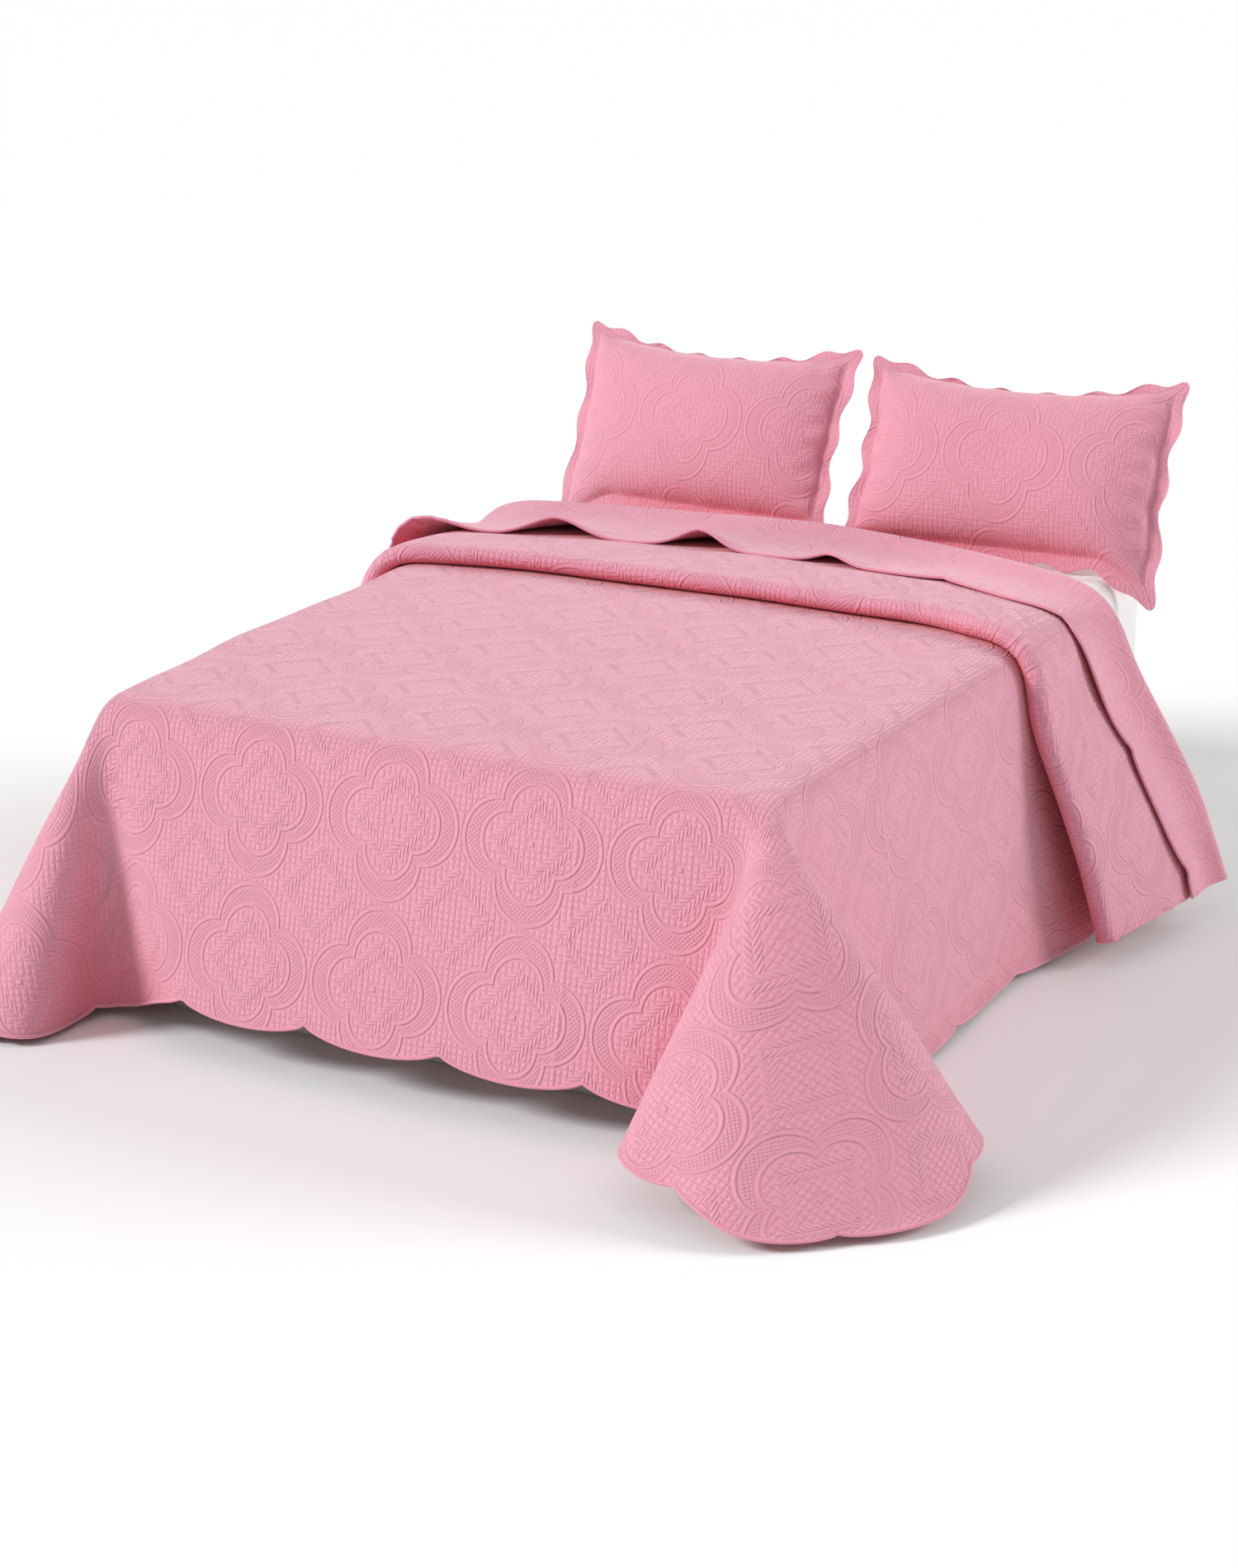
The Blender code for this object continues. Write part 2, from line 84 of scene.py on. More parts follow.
def closedSheet(name, face, back, flat, materials):
    # a closed slab between two grids; the back and the rim take the second material
    rows, columns = face.shape[:2]
    under = rows * columns
    index = np.arange(under).reshape(rows, columns)
    a, b = index[:-1, :-1].ravel(), index[:-1, 1:].ravel()
    c, d = index[1:, 1:].ravel(), index[1:, :-1].ravel()
    front = np.stack([a, b, c, d], axis=-1)
    behind = np.stack([d, c, b, a], axis=-1) + under
    ring = np.array(rimOf(rows, columns))
    after = np.roll(ring, -1)
    side = np.stack([after, ring, under + ring, under + after], axis=-1)
    faces = np.concatenate([front, behind, side])
    points = np.concatenate([face.reshape(-1, 3), back.reshape(-1, 3)])
    piece = meshPiece(name, points, faces, np.concatenate([flat.reshape(-1, 2)] * 2))
    for material in materials:
        piece.data.materials.append(material)
    which = np.zeros(len(faces), np.int32)
    which[len(front):] = len(materials) - 1
    piece.data.polygons.foreach_set("material_index", which)
    piece.data.set_sharp_from_angle(angle=sharpFrom)
    return piece


def meshPiece(name, points, faces, flat=None):
    mesh = bpy.data.meshes.new(name)
    mesh.from_pydata(points.tolist(), [], [tuple(face) for face in np.asarray(faces).tolist()])
    mesh.update()
    if flat is not None:
        layer = mesh.uv_layers.new(name="cloth")
        corners = np.zeros(len(mesh.loops), np.int32)
        mesh.loops.foreach_get("vertex_index", corners)
        layer.data.foreach_set("uv", flat[corners].astype(np.float32).ravel())
    mesh.polygons.foreach_set("use_smooth", np.ones(len(mesh.polygons), bool))
    piece = bpy.data.objects.new(name, mesh)
    bpy.context.scene.collection.objects.link(piece)
    return piece


def weld(piece, distance):
    mesh = bmesh.new()
    mesh.from_mesh(piece.data)
    bmesh.ops.remove_doubles(mesh, verts=mesh.verts, dist=distance)
    bmesh.ops.recalc_face_normals(mesh, faces=mesh.faces)
    mesh.to_mesh(piece.data)
    mesh.free()


def tubeAlong(name, path, up, wide, tall, flat, material, sides=8):
    # a closed cord that follows a loop of points; up is the loop's normal at each point
    ahead = unit(np.roll(path, -1, axis=0) - np.roll(path, 1, axis=0))
    across = unit(np.cross(ahead, up))
    up = unit(np.cross(across, ahead))
    turn = np.arange(sides) * 2 * pi / sides
    ring = (path[:, None] + across[:, None] * (wide * np.cos(turn))[None, :, None]
            + up[:, None] * (tall * np.sin(turn))[None, :, None])
    count = len(path)
    index = np.arange(count * sides).reshape(count, sides)
    nextRing = np.roll(index, -1, axis=0)
    faces = np.stack([index, nextRing, np.roll(nextRing, -1, axis=1), np.roll(index, -1, axis=1)],
                     axis=-1).reshape(-1, 4)
    piece = meshPiece(name, ring.reshape(-1, 3), faces, np.repeat(flat, sides, axis=0))
    piece.data.materials.append(material)
    return piece


# Materials

def newGroup(name, inputs, outputs):
    tree = bpy.data.node_groups.new(name, "ShaderNodeTree")
    for label, kind, value in inputs:
        socket = tree.interface.new_socket(label, in_out="INPUT", socket_type=kind)
        if value is not None:
            socket.default_value = value
    for label, kind in outputs:
        tree.interface.new_socket(label, in_out="OUTPUT", socket_type=kind)
    return tree, tree.nodes.new("NodeGroupInput"), tree.nodes.new("NodeGroupOutput")


def mathIn(tree):
    # sums for node trees: maths("ADD", a, b) gives the output socket
    def maths(operation, *values, clamp=False):
        node = tree.nodes.new("ShaderNodeMath")
        node.operation = operation
        node.use_clamp = clamp
        for socket, value in zip(node.inputs, values):
            if isinstance(value, (int, float)):
                socket.default_value = value
            else:
                tree.links.new(value, socket)
        return node.outputs[0]
    return maths


# The quilted pattern, in shares of a medallion: lobed medallions with a double channel round
# them and another inside, fine lattice between the two, leaf sprays round a coarser lattice.
stitch = {
    "pitch": (0.301, 0.320),   # one medallion to the next, across and along, in metres
    "outer": (0.240, 0.250),   # where each lobe is centred, and its radius
    "inner": (0.176, 0.188),
    "channel": 0.034,          # between the two seams of a channel
    "seam": 0.0105,
    "seamDepth": 0.8,
    "fineCell": 0.030,
    "fineHeight": 0.58,
    "coarseCell": 0.040,
    "coarseHeight": 0.72,
    "sprayAt": 0.240,
    "sprayHalf": 0.066,
    "sprayPast": 0.03,         # how far one spray runs past the next
    "leaf": 0.052,
    "leafSlant": 1.15,
    "leafLow": 0.19,
    "leafRise": 0.70,
}


def stitchGroup():
    tree, given, result = newGroup(
        "stitchPattern",
        [("Flat", "NodeSocketVector", None),
         ("Pitch Across", "NodeSocketFloat", stitch["pitch"][0]),
         ("Pitch Along", "NodeSocketFloat", stitch["pitch"][1]),
         ("Offset Across", "NodeSocketFloat", 0.0), ("Offset Along", "NodeSocketFloat", 0.0)],
        [("Height", "NodeSocketFloat"), ("Seam", "NodeSocketFloat")])
    maths = mathIn(tree)
    split = tree.nodes.new("ShaderNodeSeparateXYZ")
    tree.links.new(given.outputs["Flat"], split.inputs[0])
    across = maths("DIVIDE", maths("SUBTRACT", split.outputs[0], given.outputs["Offset Across"]),
                   given.outputs["Pitch Across"])
    along = maths("DIVIDE", maths("SUBTRACT", split.outputs[1], given.outputs["Offset Along"]),
                  given.outputs["Pitch Along"])
    u, v = maths("PINGPONG", across, 0.5), maths("PINGPONG", along, 0.5)

    def lobeDistance(centre, radius):
        def away(x, y):
            square = maths("ADD", maths("MULTIPLY", x, x), maths("MULTIPLY", y, y))
            return maths("SQRT", square)
        one = away(maths("SUBTRACT", u, centre), v)
        two = away(u, maths("SUBTRACT", v, centre))
        return maths("SUBTRACT", maths("MINIMUM", one, two), radius)

    def channel(distance):
        # the two seams, and the rounded cord between them
        half = stitch["channel"] / 2
        middle = maths("ABSOLUTE", maths("ADD", distance, half))
        off = maths("ABSOLUTE", maths("SUBTRACT", middle, half))
        seam = maths("SUBTRACT", 1.0, maths("DIVIDE", off, stitch["seam"]), clamp=True)
        seam = maths("MULTIPLY", seam, maths("SUBTRACT", 2.0, seam))
        cord = maths("SUBTRACT", 1.0, maths("DIVIDE", middle, half), clamp=True)
        inCord = maths("LESS_THAN", middle, half)
        return seam, maths("SQRT", cord), inCord

    def lattice(x, y, cell):
        one = maths("ABSOLUTE", maths("SINE", maths("MULTIPLY", x, pi / cell)))
        two = maths("ABSOLUTE", maths("SINE", maths("MULTIPLY", y, pi / cell)))
        return maths("SQRT", maths("MULTIPLY", one, two))

    def mixed(low, high, share):
        return maths("ADD", low, maths("MULTIPLY", maths("SUBTRACT", high, low), share))

    outer = lobeDistance(*stitch["outer"])
    inner = lobeDistance(*stitch["inner"])
    diagonal = maths("ADD", across, along)
    counter = maths("SUBTRACT", across, along)
    p, q = maths("PINGPONG", diagonal, 0.5), maths("PINGPONG", counter, 0.5)

    def spray(beside, end, run):
        # a stem with slanting leaves on both sides
        side = maths("ABSOLUTE", maths("SUBTRACT", beside, stitch["sprayAt"]))
        share = maths("DIVIDE", side, stitch["sprayHalf"])
        inside = maths("MULTIPLY", maths("LESS_THAN", share, 1.0),
                       maths("LESS_THAN", end, stitch["sprayAt"] + stitch["sprayPast"]))
        step = maths("DIVIDE", maths("ADD", run, maths("MULTIPLY", side, stitch["leafSlant"])),
                     stitch["leaf"])
        leaf = maths("ABSOLUTE", maths("SINE", maths("MULTIPLY", step, pi)))
        swell = maths("MULTIPLY", maths("MULTIPLY", share, maths("SUBTRACT", 1.0, share)), 4.0)
        raised = maths("MULTIPLY", leaf, maths("SQRT", maths("ABSOLUTE", swell)))
        return inside, maths("ADD", stitch["leafLow"],
                             maths("MULTIPLY", raised, stitch["leafRise"]))

    coarse = lattice(across, along, stitch["coarseCell"])
    fillHeight = maths("MULTIPLY", coarse, stitch["coarseHeight"])
    for beside, end, run in ((p, q, counter), (q, p, diagonal)):
        inside, leaf = spray(beside, end, run)
        fillHeight = mixed(fillHeight, leaf, inside)
    band = maths("MULTIPLY", maths("LESS_THAN", outer, -stitch["channel"]),
                 maths("GREATER_THAN", inner, 0.0))
    fine = lattice(diagonal, counter, stitch["fineCell"])
    height = mixed(fillHeight, maths("MULTIPLY", fine, stitch["fineHeight"]), band)
    seams = 0.0
    for distance in (outer, inner):
        seam, cord, inCord = channel(distance)
        height = mixed(height, cord, inCord)
        sewn = maths("SUBTRACT", 1.0, maths("MULTIPLY", seam, stitch["seamDepth"]))
        height = maths("MULTIPLY", height, sewn)
        seams = maths("MAXIMUM", seam, seams)
    tree.links.new(height, result.inputs["Height"])
    tree.links.new(seams, result.inputs["Seam"])
    return tree


cottonYarn = {
    "thread": 900.0,
    "slub": (130.0, 3.0),      # how close together the thick places are, and their detail
    "drift": (2.2, 2.0),       # the same for the slow drift of the dye
}


def clothGroup():
    # cotton yarn: a fine plain weave, slubs, and a slow drift of the dye
    tree, given, result = newGroup(
        "cottonYarn",
        [("Flat", "NodeSocketVector", None),
         ("Thread", "NodeSocketFloat", cottonYarn["thread"])],
        [("Weave", "NodeSocketFloat"), ("Slub", "NodeSocketFloat"), ("Drift", "NodeSocketFloat")])
    maths = mathIn(tree)
    split = tree.nodes.new("ShaderNodeSeparateXYZ")
    tree.links.new(given.outputs["Flat"], split.inputs[0])
    waves = [maths("SINE", maths("MULTIPLY", split.outputs[i], given.outputs["Thread"]))
             for i in (0, 1)]
    tree.links.new(maths("MULTIPLY", maths("ADD", waves[0], waves[1]), 0.5), result.inputs["Weave"])
    for label in ("Slub", "Drift"):
        scale, depth = cottonYarn[label.lower()]
        noise = tree.nodes.new("ShaderNodeTexNoise")
        noise.inputs["Scale"].default_value = scale
        noise.inputs["Detail"].default_value = depth
        tree.links.new(given.outputs["Flat"], noise.inputs["Vector"])
        tree.links.new(noise.outputs["Fac"], result.inputs[label])
    return tree


stitchTree, yarnTree = stitchGroup(), clothGroup()

cotton = {
    "pink": (0.78, 0.325, 0.425, 1.0),
    # darker pink: painted shade along the sewn seams; also the dye's slow drift and the binding's
    # slubs
    "seamShadeAndDyePink": (0.70, 0.235, 0.325, 1.0),
    "seamShadeShare": 0.12,
    "driftFrom": 0.35,
    "driftShare": 0.35,
    "raisedPink": (0.80, 0.350, 0.450, 1.0),        # a lighter pink on the raised parts
    "raisedShare": 0.6,
    "hollowShadePink": (0.74, 0.10, 0.15, 1.0),    # painted shade: deep red in hollows near other cloth
    "hollowShadeReach": 0.28,
    "hollowShadeFrom": 0.72,
    "hollowShadeShare": 1.7,
    "hollowShadeRays": 4,
    "roughness": 0.88,
    "slubRoughness": 0.12,
    "sheen": 0.38,
    "sheenRoughness": 0.55,
    "relief": 0.0028,
    "reverseRelief": 0.0016,
    "crinkle": 0.0022,
    "faceCrinkle": 0.0012,
    "crinkleNoise": {"Scale": 34.0, "Detail": 3.0, "Distortion": 0.6},
    "creases": ((1, -0.62, 0.016), (1, -1.22, 0.016), (0, 0.36, 0.014)),   # axis, place, width
    "creaseDepth": 0.0012,
    "weave": 0.0003,
    "specular": 0.25,
}


def startMaterial(name, colour, roughness, sheen=0.0, sheenRoughness=0.5):
    material = bpy.data.materials.new(name)
    material.use_nodes = True
    tree = material.node_tree
    shader = tree.nodes["Principled BSDF"]
    shader.inputs["Base Color"].default_value = colour
    shader.inputs["Roughness"].default_value = roughness
    shader.inputs["Sheen Weight"].default_value = sheen
    shader.inputs["Sheen Roughness"].default_value = sheenRoughness
    shader.inputs["Specular IOR Level"].default_value = cotton["specular"]
    return material, tree, shader


def groupNode(tree, group, vector, **values):
    node = tree.nodes.new("ShaderNodeGroup")
    node.node_tree = group
    tree.links.new(vector, node.inputs["Flat"])
    for label, value in values.items():
        node.inputs[label.replace("_", " ")].default_value = value
    return node


def bumpNode(tree, height, distance, before=None):
    bump = tree.nodes.new("ShaderNodeBump")
    bump.inputs["Strength"].default_value = 1.0
    bump.inputs["Distance"].default_value = distance
    tree.links.new(height, bump.inputs["Height"])
    if before is not None:
        tree.links.new(before, bump.inputs["Normal"])
    return bump.outputs["Normal"]


def mixColour(tree, share, low, high):
    node = tree.nodes.new("ShaderNodeMix")
    node.data_type = "RGBA"
    for socket, value in ((node.inputs[0], share), (node.inputs[6], low), (node.inputs[7], high)):
        if isinstance(value, (tuple, float)):
            socket.default_value = value
        else:
            tree.links.new(value, socket)
    return node.outputs[2]


def quiltedCotton(name, pitch, offset, relief, crinkle=0.0, creases=()):
    # the face or the reverse of the quilted cloth; creases are lines where it lay folded
    material, tree, shader = startMaterial(name, cotton["pink"], cotton["roughness"],
                                           cotton["sheen"], cotton["sheenRoughness"])
    maths = mathIn(tree)
    place = tree.nodes.new("ShaderNodeUVMap")
    place.uv_map = "cloth"
    flat = place.outputs["UV"]
    pattern = groupNode(tree, stitchTree, flat, Pitch_Across=pitch[0], Pitch_Along=pitch[1],
                        Offset_Across=offset[0], Offset_Along=offset[1])
    yarn = groupNode(tree, yarnTree, flat)
    normal = bumpNode(tree, pattern.outputs["Height"], relief)
    if creases:
        split = tree.nodes.new("ShaderNodeSeparateXYZ")
        tree.links.new(flat, split.inputs[0])
        ridge = 0.0
        for axis, at, width in creases:
            away = maths("ABSOLUTE", maths("SUBTRACT", split.outputs[axis], at))
            line = maths("SUBTRACT", 1.0, maths("DIVIDE", away, width), clamp=True)
            ridge = maths("MAXIMUM", line, ridge)
        normal = bumpNode(tree, maths("MULTIPLY", ridge, ridge), cotton["creaseDepth"], normal)
    if crinkle:
        noise = tree.nodes.new("ShaderNodeTexNoise")
        for label, value in cotton["crinkleNoise"].items():
            noise.inputs[label].default_value = value
        tree.links.new(flat, noise.inputs["Vector"])
        normal = bumpNode(tree, noise.outputs["Fac"], crinkle, normal)
    fuzz = maths("ADD", maths("MULTIPLY", yarn.outputs["Weave"], 0.5), yarn.outputs["Slub"])
    normal = bumpNode(tree, fuzz, cotton["weave"], normal)
    tree.links.new(normal, shader.inputs["Normal"])
    raised = maths("MULTIPLY", pattern.outputs["Height"], cotton["raisedShare"])
    tone = mixColour(tree, raised, cotton["pink"], cotton["raisedPink"])
    # painted shade: the sewn seams are darkened a little
    seam = maths("MULTIPLY", pattern.outputs["Seam"], cotton["seamShadeShare"])
    tone = mixColour(tree, seam, tone, cotton["seamShadeAndDyePink"])
    drift = maths("SUBTRACT", yarn.outputs["Drift"], cotton["driftFrom"])
    drift = maths("MULTIPLY", drift, cotton["driftShare"], clamp=True)
    tone = mixColour(tree, drift, tone, cotton["seamShadeAndDyePink"])
    # painted shade: where other cloth is near, the pink is mixed towards deep red
    shadeProbe = tree.nodes.new("ShaderNodeAmbientOcclusion")
    shadeProbe.samples = cotton["hollowShadeRays"]
    shadeProbe.inputs["Distance"].default_value = cotton["hollowShadeReach"]
    hollowShade = maths("SUBTRACT", cotton["hollowShadeFrom"], shadeProbe.outputs["AO"])
    hollowShade = maths("MULTIPLY", hollowShade, cotton["hollowShadeShare"], clamp=True)
    tone = mixColour(tree, hollowShade, tone, cotton["hollowShadePink"])
    tree.links.new(tone, shader.inputs["Base Color"])
    slub = maths("MULTIPLY", yarn.outputs["Slub"], cotton["slubRoughness"])
    rough = maths("ADD", cotton["roughness"] - cotton["slubRoughness"] / 2, slub)
    tree.links.new(rough, shader.inputs["Roughness"])
    return material


woven = {"sheen": 0.15, "slubFrom": 0.4, "slubShare": 0.5, "driftShare": 0.25}


def wovenCotton(name, colour, dark, thread, weave, roughness):
    # a plain woven cloth that needs no unwrapping
    material, tree, shader = startMaterial(name, colour, roughness, woven["sheen"])
    maths = mathIn(tree)
    place = tree.nodes.new("ShaderNodeTexCoord")
    yarn = groupNode(tree, yarnTree, place.outputs["Object"], Thread=thread)
    height = maths("ADD", yarn.outputs["Weave"], yarn.outputs["Slub"])
    tree.links.new(bumpNode(tree, height, weave), shader.inputs["Normal"])
    shade = maths("SUBTRACT", yarn.outputs["Slub"], woven["slubFrom"])
    shade = maths("MULTIPLY", shade, woven["slubShare"], clamp=True)
    tone = mixColour(tree, shade, colour, dark)
    drift = maths("MULTIPLY", yarn.outputs["Drift"], woven["driftShare"])
    tree.links.new(mixColour(tree, drift, tone, dark), shader.inputs["Base Color"])
    return material


# The quilt: the cloth's flat cut, how it drapes over the bed, and how its head end is folded

bed = {
    "width": 1.40,
    "length": 2.00,
    "base": 0.37,
    "top": 0.650,
    "corner": 0.10,
    "edge": 0.080,
    "lowEdge": 0.030,
    "gap": 0.0003,
}

quilt = {
    "thickness": 0.004,
    "edgeAcross": 0.735,
    "footEdge": -1.035,
    "sideDrop": 0.650,
    "footDrop": 0.575,
    "hemCorner": 0.34,
    "clearance": 0.008,        # between the hem and the floor
    "landing": 0.030,          # cloth lower than this above the clearance is eased upwards
    "pitch": stitch["pitch"],
    "offset": (-0.0325, -1.035 + 0.178),
    "cushion": 0.0030,
    "scallop": 0.034,
    "scallopMiddle": 0.75,
    "notchWidth": 0.02,
    "cornerLobes": {"right": 3.89, "left": 4.11},
    "fanSteps": 160,
    "underBend": 0.0045,
    "standOff": 0.030,         # the folds stand off the right drop towards its hem
    "standOffStart": 0.82,
    "standOffRun": 0.40,
    "roll": 0.020,
    "farFold": 0.020,
    "bandSag": 0.030,
    "flapSag": 0.018,
    "flapRest": 0.030,         # how far the flap sinks onto the band behind its hem
    "spare": 1.26,             # cloth tucked under the roll
    "joinFoot": {"right": 12.0, "left": 20.0},
    "joinSide": 12.0,
    "slack": 0.085,            # how much farther the hanging corners reach than flat cloth
    "slackRun": 0.30,
    "slackFade": (0.25, 0.80),
    "softSteps": 4,
    "normalStep": 0.004,
    "rippleHeight": 0.0035,
    "ripples": ((0.47, 0.35, 0.31, 0.0), (0.39, 0.30, 0.27, 1.3)),   # wave, sway, its run, start
}
rest = bed["top"] + bed["gap"] + quilt["thickness"] / 2

folds = {   # across the cloth: where the roll, the far fold and the free hem lie along the bed
    "across": (-1.38, -1.05, -0.735, -0.40, 0.00, 0.30, 0.50, 0.735, 1.00, 1.38),
    "roll": (0.16, 0.14, 0.16, 0.22, 0.23, 0.22, 0.20, 0.12, 0.11, 0.17),
    "far": (0.62, 0.60, 0.62, 0.69, 0.73, 0.68, 0.61, 0.52, 0.54, 0.58),
    "hem": (0.42, 0.34, 0.31, 0.43, 0.47, 0.46, 0.42, 0.34, 0.38, 0.46),
}
hemLifts = (
    {"across": -0.76, "width": 0.11, "height": 0.062},
    {"across": -0.47, "width": 0.07, "height": 0.040},
    {"across": -0.17, "width": 0.06, "height": 0.038},
    {"across": 0.14, "width": 0.05, "height": 0.018},
    {"across": 0.86, "width": 0.08, "height": 0.012},
)
sides = {   # along the bed: tilt of each side drop in degrees, left billow, softness of the edge
    "along": (-1.035, -0.75, -0.45, -0.10, 0.15, 0.40, 0.65, 1.00),
    "right": (9.0, 8.0, 8.0, 7.0, 10.0, 16.0, 18.5, 18.5),
    "left": (9.0, 10.0, 11.0, 12.0, 13.0, 18.0, 22.0, 24.0),
    "billow": (-0.015, 0.010, 0.040, 0.045, 0.080, 0.075, 0.050, 0.030),
    "softness": (0.062, 0.066, 0.068, 0.078, 0.100, 0.110, 0.108, 0.105),
}
foot = {
    "across": (-0.735, -0.45, -0.10, 0.30, 0.55, 0.735),
    "tilt": (9.0, 12.0, 13.0, 13.0, 11.0, 8.0),
}
cornerRays = {   # azimuth from the foot towards that side, tilt from straight down, in degrees
    "right": ((-24, 32), (-8, 32), (16, 35), (45, 33), (76, 35), (104, 33)),
    "left": ((-22, 3), (5, 21), (35, 26), (68, 25), (95, 8), (115, 27)),
}


def ray(azimuth, tilt):
    azimuth, tilt = radians(azimuth), radians(tilt)
    return np.array((sin(tilt) * sin(azimuth), -sin(tilt) * cos(azimuth), -cos(tilt)))


def cornerFan(side):
    # directions of a hanging corner against the flat angle from the foot direction
    downFoot = ray(0, foot["tilt"][-1 if side == "right" else 0])
    downSide = ray(90, sides[side][0])
    joinFoot, joinSide = radians(quilt["joinFoot"][side]), radians(quilt["joinSide"])
    first = cos(joinFoot) * downFoot - sin(joinFoot) * np.array((1.0, 0.0, 0.0))
    last = cos(joinSide) * downSide + sin(joinSide) * np.array((0.0, 1.0, 0.0))
    keys = np.array([first] + [ray(*key) for key in cornerRays[side]] + [last])
    steps = np.linspace(0, len(keys) - 1, quilt["fanSteps"])
    curve = [easeTable(steps, np.arange(len(keys)), keys[:, axis]) for axis in range(3)]
    curve = unit(np.stack(curve, axis=-1))
    turned = np.linalg.norm(np.diff(curve, axis=0), axis=1).cumsum()
    turned = np.concatenate(([0.0], turned)) / turned[-1]
    return -joinFoot + turned * (pi / 2 + joinFoot + joinSide), curve


fans = {side: cornerFan(side) for side in cornerRays}


def halfDrape(across, along, side):
    # where flat cloth lies on the bare bed, for one half; across is outward from the middle
    sign = 1.0 if side == "right" else -1.0
    out, beyond = across - quilt["edgeAcross"], quilt["footEdge"] - along
    place = np.stack([across, along, np.full_like(across, rest)], axis=-1)
    tilt = np.radians(easeTable(along, sides["along"], sides[side]))
    hang = np.stack([np.sin(tilt), np.zeros_like(tilt), -np.cos(tilt)], axis=-1)
    edge = place.copy()
    edge[..., 0] = quilt["edgeAcross"]
    onSide = edge + hang * out[..., None]
    edge = place.copy()
    edge[..., 1] = quilt["footEdge"]
    lean = np.radians(easeTable(across * sign, foot["across"], foot["tilt"]))
    hang = np.stack([np.zeros_like(lean), -np.sin(lean), -np.cos(lean)], axis=-1)
    onFoot = edge + hang * beyond[..., None]
    angle = np.arctan2(out, beyond)
    angles, curve = fans[side]
    turn = [np.interp(angle, angles, curve[:, axis]) for axis in range(3)]
    corner = np.array((quilt["edgeAcross"], quilt["footEdge"], rest))
    swing = (angle - angles[0]) / (angles[-1] - angles[0])
    reach = np.hypot(out, beyond)
    slack = quilt["slack"] * easeStep(reach / quilt["slackRun"])
    slack = slack * easeStep(swing / quilt["slackFade"][0])
    slack = slack * easeStep((1 - swing) / quilt["slackFade"][1])
    onCorner = corner + unit(np.stack(turn, axis=-1)) * (reach + slack)[..., None]
    inFan = (swing > 0) & (swing < 1)
    result = np.where(((beyond > 0) & (angle <= angles[0]))[..., None], onFoot, place)
    result = np.where(((out > 0) & (angle >= angles[-1]))[..., None], onSide, result)
    return np.where(inFan[..., None], onCorner, result)


def sharpDrape(across, along):
    right = halfDrape(across, along, "right")
    left = halfDrape(-across, along, "left") * np.array((-1.0, 1.0, 1.0))
    billow = easeTable(along, sides["along"], sides["billow"])
    left[..., 0] -= billow * easeStep(-across / quilt["edgeAcross"])
    return np.where((across > 0)[..., None], right, left)


def drape(across, along):
    # edges and creases are rounded by averaging the drape over a small patch
    count = quilt["softSteps"]
    step = easeTable(along, sides["along"], sides["softness"]) / count
    total, weights = 0.0, 0.0
    for i in range(-count, count + 1):
        for j in range(-count, count + 1):
            weight = (count + 1 - abs(i)) * (count + 1 - abs(j))
            total = total + weight * sharpDrape(across + i * step, along + j * step)
            weights += weight
    place = total / weights
    low, span = place[..., 2], quilt["landing"]
    lift = np.maximum(quilt["clearance"] + span - low, 0.0)
    place[..., 2] = np.where(lift > 0, quilt["clearance"] + span * np.exp(-lift / span), low)
    return place


def ripple(across, along):
    # slow, shallow waves of a cloth that has lain folded; never below the bed's surface
    total = 0.0
    for ahead, beside, (wave, sway, run, start) in zip(
            (across, along), (along, across), quilt["ripples"]):
        total = total + np.sin(2 * pi * (ahead / wave + sway * np.sin(beside / run + start)))
    return quilt["rippleHeight"] * (1 + total / 2) / 2


def drapeFrame(across, along):
    step = quilt["normalStep"]
    here = drape(across, along)
    spread = drape(across + step, along) - here
    length = drape(across, along + step) - here
    normal = unit(np.cross(spread, length))
    return here + normal * ripple(across, along)[..., None], normal


def lobe(phase):
    # one broad lobe for each whole number, with a narrow notch between two
    return np.sqrt(np.abs(np.cos(pi * phase)) + quilt["notchWidth"]) - quilt["scallopMiddle"]


def hemReach(angle, sideSign, across, along):
    # how far the cut edge lies beyond the bed's edge
    width, length, roundOff = quilt["sideDrop"], quilt["footDrop"], quilt["hemCorner"]
    ways = np.stack([np.sin(angle), np.cos(angle)], axis=-1)
    square = np.minimum(width / np.maximum(ways[..., 0], 1e-6),
                        length / np.maximum(ways[..., 1], 1e-6))
    centre = np.array((width - roundOff, length - roundOff))
    dot = ways @ centre
    arc = dot + np.sqrt(np.maximum(dot ** 2 - centre @ centre + roundOff ** 2, 0.0))
    hit = ways * arc[..., None]
    rounded = (hit[..., 0] > centre[0]) & (hit[..., 1] > centre[1])
    reach = np.where(rounded, arc, square)
    footPhase = (across - quilt["offset"][0]) / quilt["pitch"][0]
    sidePhase = (along - quilt["offset"][1]) / quilt["pitch"][1]
    start = (sideSign * quilt["edgeAcross"] - quilt["offset"][0]) / quilt["pitch"][0]
    lobes = np.where(sideSign > 0, quilt["cornerLobes"]["right"], quilt["cornerLobes"]["left"])
    cornerPhase = start + sideSign * angle / (pi / 2) * lobes
    phase = np.where(angle <= 0, footPhase, np.where(angle >= pi / 2, sidePhase, cornerPhase))
    return reach + quilt["scallop"] * lobe(phase)


